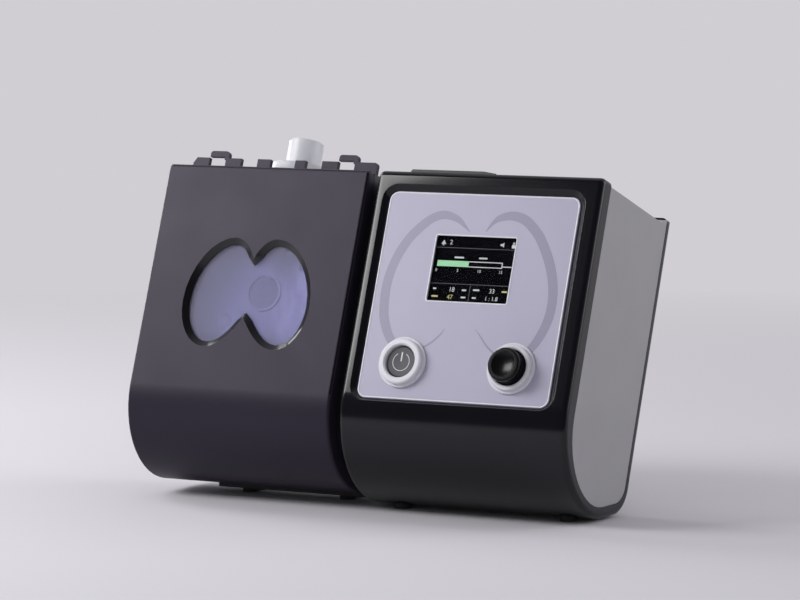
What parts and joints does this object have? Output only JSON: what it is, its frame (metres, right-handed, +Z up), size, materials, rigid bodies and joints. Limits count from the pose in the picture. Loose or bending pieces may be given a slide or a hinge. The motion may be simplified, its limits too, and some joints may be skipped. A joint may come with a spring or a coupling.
{
  "type": "bilevel pap machine",
  "caption": "Bedside bilevel breathing machine with a docked heated humidifier: leaning front, colour screen, power button, turn-and-press knob, lift-out water tank and hose port.",
  "frame": {"origin": "centre of the footprint of the whole box, on the table plane under the feet", "axes": "+X to the viewer's right along the width, from humidifier to main unit; -Y towards the user (front); +Z up"},
  "size_m": [0.3, 0.1458, 0.2187],
  "materials": {
    "case_black": "gloss",
    "cover_dark": "satin",
    "housing_grey": "matte",
    "panel_lilac": "satin",
    "screen_black": "gloss",
    "ring_pale": "satin",
    "button_grey": "matte",
    "knob_black": "gloss",
    "inner_black": "matte",
    "duct_grey": "matte",
    "board_green": "satin",
    "steel": "brushed",
    "aluminium": "brushed",
    "rubber_black": "matte",
    "silicone": "matte",
    "filter_felt": "matte",
    "window_clear": "clear",
    "tank_blue": "clear",
    "lid_white": "satin",
    "impeller_white": "satin"
  },
  "bodies": {
    "machine": {"front_case": "case_black", "mid_housing": "housing_grey", "rear_cover": "case_black", "control_panel": "panel_lilac", "lcd_lens": "screen_black", "lcd_module": "steel", "power_ring": "ring_pale", "power_switch": "inner_black", "knob_ring": "ring_pale", "encoder": "steel", "control_board": "board_green", "main_board": "board_green", "blower_front": "duct_grey", "blower_back": "duct_grey", "blower_motor": "aluminium", "blower_mounts": "rubber_black", "air_duct": "duct_grey", "outlet_nozzle": "duct_grey", "air_filter": "filter_felt", "filter_door_pin": "steel", "power_socket": "inner_black", "card_slot": "inner_black", "speaker": "inner_black", "dock_socket": "inner_black", "release_spring": "steel", "case_screws": "steel", "main_feet": "rubber_black"},
    "power_button": {"power_button": "button_grey"},
    "knob": {"knob": "knob_black", "knob_shaft": "steel"},
    "encoder_plunger": {"encoder_plunger": "steel"},
    "release_button": {"release_button": "inner_black"},
    "impeller": {"impeller": "impeller_white"},
    "filter_door": {"filter_door": "inner_black"},
    "humidifier": {"front_cover": "cover_dark", "window_pane": "window_clear", "humidifier_housing": "inner_black", "humidifier_base": "inner_black", "tank_collar": "cover_dark", "inlet_duct": "duct_grey", "inlet_seal": "silicone", "heater_plate": "aluminium", "heater_frame": "inner_black", "humidifier_board": "board_green", "dock_connector": "inner_black", "humidifier_screws": "steel", "humidifier_feet": "rubber_black"},
    "tank": {"tank_body": "tank_blue", "tank_base_plate": "aluminium", "lid_seal": "silicone", "lid_hinge_pins": "steel"},
    "tank_lid": {"tank_lid": "lid_white", "outlet_port": "lid_white", "port_seal": "silicone"}
  },
  "joints": [
    {"name": "power_press", "type": "slide", "parent": "machine", "child": "power_button", "axis": [0, 0.9397, -0.342], "range_m": [0, 0.0008], "stiffness_N_per_m": 200, "springref_m": -0.002},
    {"name": "knob_press", "type": "slide", "parent": "machine", "child": "encoder_plunger", "axis": [0, 0.9397, -0.342], "range_m": [0, 0.0008], "stiffness_N_per_m": 300, "springref_m": -0.002},
    {"name": "knob_turn", "type": "hinge", "parent": "encoder_plunger", "child": "knob", "pos_m": [0.10885, -0.05849, 0.09194], "axis": [0, -0.9397, 0.342], "continuous": true},
    {"name": "release_press", "type": "slide", "parent": "machine", "child": "release_button", "axis": [0, -0.342, -0.9397], "range_m": [0, 0.002], "stiffness_N_per_m": 250, "springref_m": -0.003, "deforming": ["release_spring"]},
    {"name": "impeller_spin", "type": "hinge", "parent": "machine", "child": "impeller", "pos_m": [0.084, -0.00272, 0.07792], "axis": [0, 0.9397, -0.342], "continuous": true},
    {"name": "filter_door_open", "type": "hinge", "parent": "machine", "child": "filter_door", "pos_m": [0.084, 0.0425, 0.0937], "axis": [1, 0, 0], "range_deg": [0, 85]},
    {"name": "humidifier_undock", "type": "slide", "parent": "machine", "child": "humidifier", "axis": [-1, 0, 0], "range_m": [0, 0.04]},
    {"name": "tank_lift", "type": "slide", "parent": "humidifier", "child": "tank", "axis": [0, 0.342, 0.9397], "range_m": [0, 0.158]},
    {"name": "tank_lid_open", "type": "hinge", "parent": "tank", "child": "tank_lid", "pos_m": [-0.079, 0.06292, 0.16938], "axis": [-1, 0, 0], "range_deg": [0, 105]}
  ]
}
